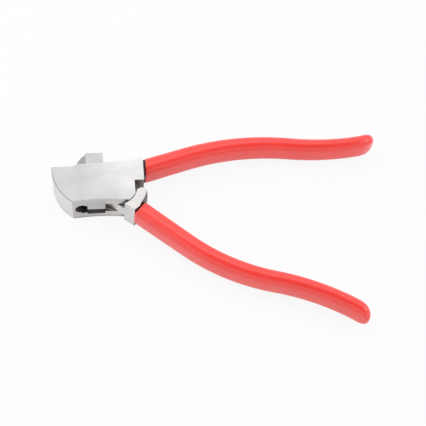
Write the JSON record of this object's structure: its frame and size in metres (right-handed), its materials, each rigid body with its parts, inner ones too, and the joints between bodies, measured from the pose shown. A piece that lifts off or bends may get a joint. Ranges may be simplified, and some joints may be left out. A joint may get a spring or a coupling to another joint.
{
  "type": "key cutting pliers",
  "caption": "Hand-held key cutting pliers: a steel head with a sliding V punch and die, a pivoting squeeze lever, and red dipped grips.",
  "frame": {"origin": "centre of the pivot pin's end on the head's back face", "axes": "+X towards the handle ends, +Y towards the edge where the punch stands out, +Z through the head from its back face to its front face"},
  "size_m": [0.1894, 0.1204, 0.0184],
  "materials": {
    "bright_steel": "satin, finely ground",
    "bar_steel": "plain, lightly oiled",
    "tool_steel": "hardened and ground, dark grey",
    "pin_steel": "ground dowel",
    "black_screws": "black oxide",
    "spring_steel": "bright spring wire",
    "bronze": "sintered bronze, oiled",
    "red_grip": "glossy dipped soft vinyl"
  },
  "bodies": {
    "head": {"head_body": "bright_steel", "die_insert": "tool_steel", "die_screw": "black_screws", "pivot_pin": "pin_steel", "pivot_set_screw": "black_screws", "stop_screw": "black_screws", "access_plug": "black_screws", "fixed_handle_bar": "bar_steel", "tang_pins": "pin_steel", "fixed_grip": "red_grip", "spring_guide": "pin_steel", "return_spring": "spring_steel"},
    "slide": {"cutter_slide": "bright_steel", "cutter_blade": "tool_steel", "blade_screw": "black_screws", "drive_pin": "pin_steel"},
    "lever": {"lever": "bright_steel", "hub_bush": "bronze", "thrust_washers": "bronze", "moving_grip": "red_grip"}
  },
  "joints": [
    {"name": "handle_swing", "type": "hinge", "parent": "head", "child": "lever", "pos_m": [0, 0, 0.0092], "axis": [0, 0, 1], "range_deg": [0, 16], "stiffness_Nm_per_rad": 0.2, "springref_deg": -42.97, "deforming": ["return_spring"]},
    {"name": "punch_slide", "type": "slide", "parent": "head", "child": "slide", "axis": [0, -1, 0], "range_m": [0, 0.0029]}
  ],
  "couplings": [
    {"joint": "punch_slide", "follows": "handle_swing", "m_per_rad": 0.010166}
  ]
}
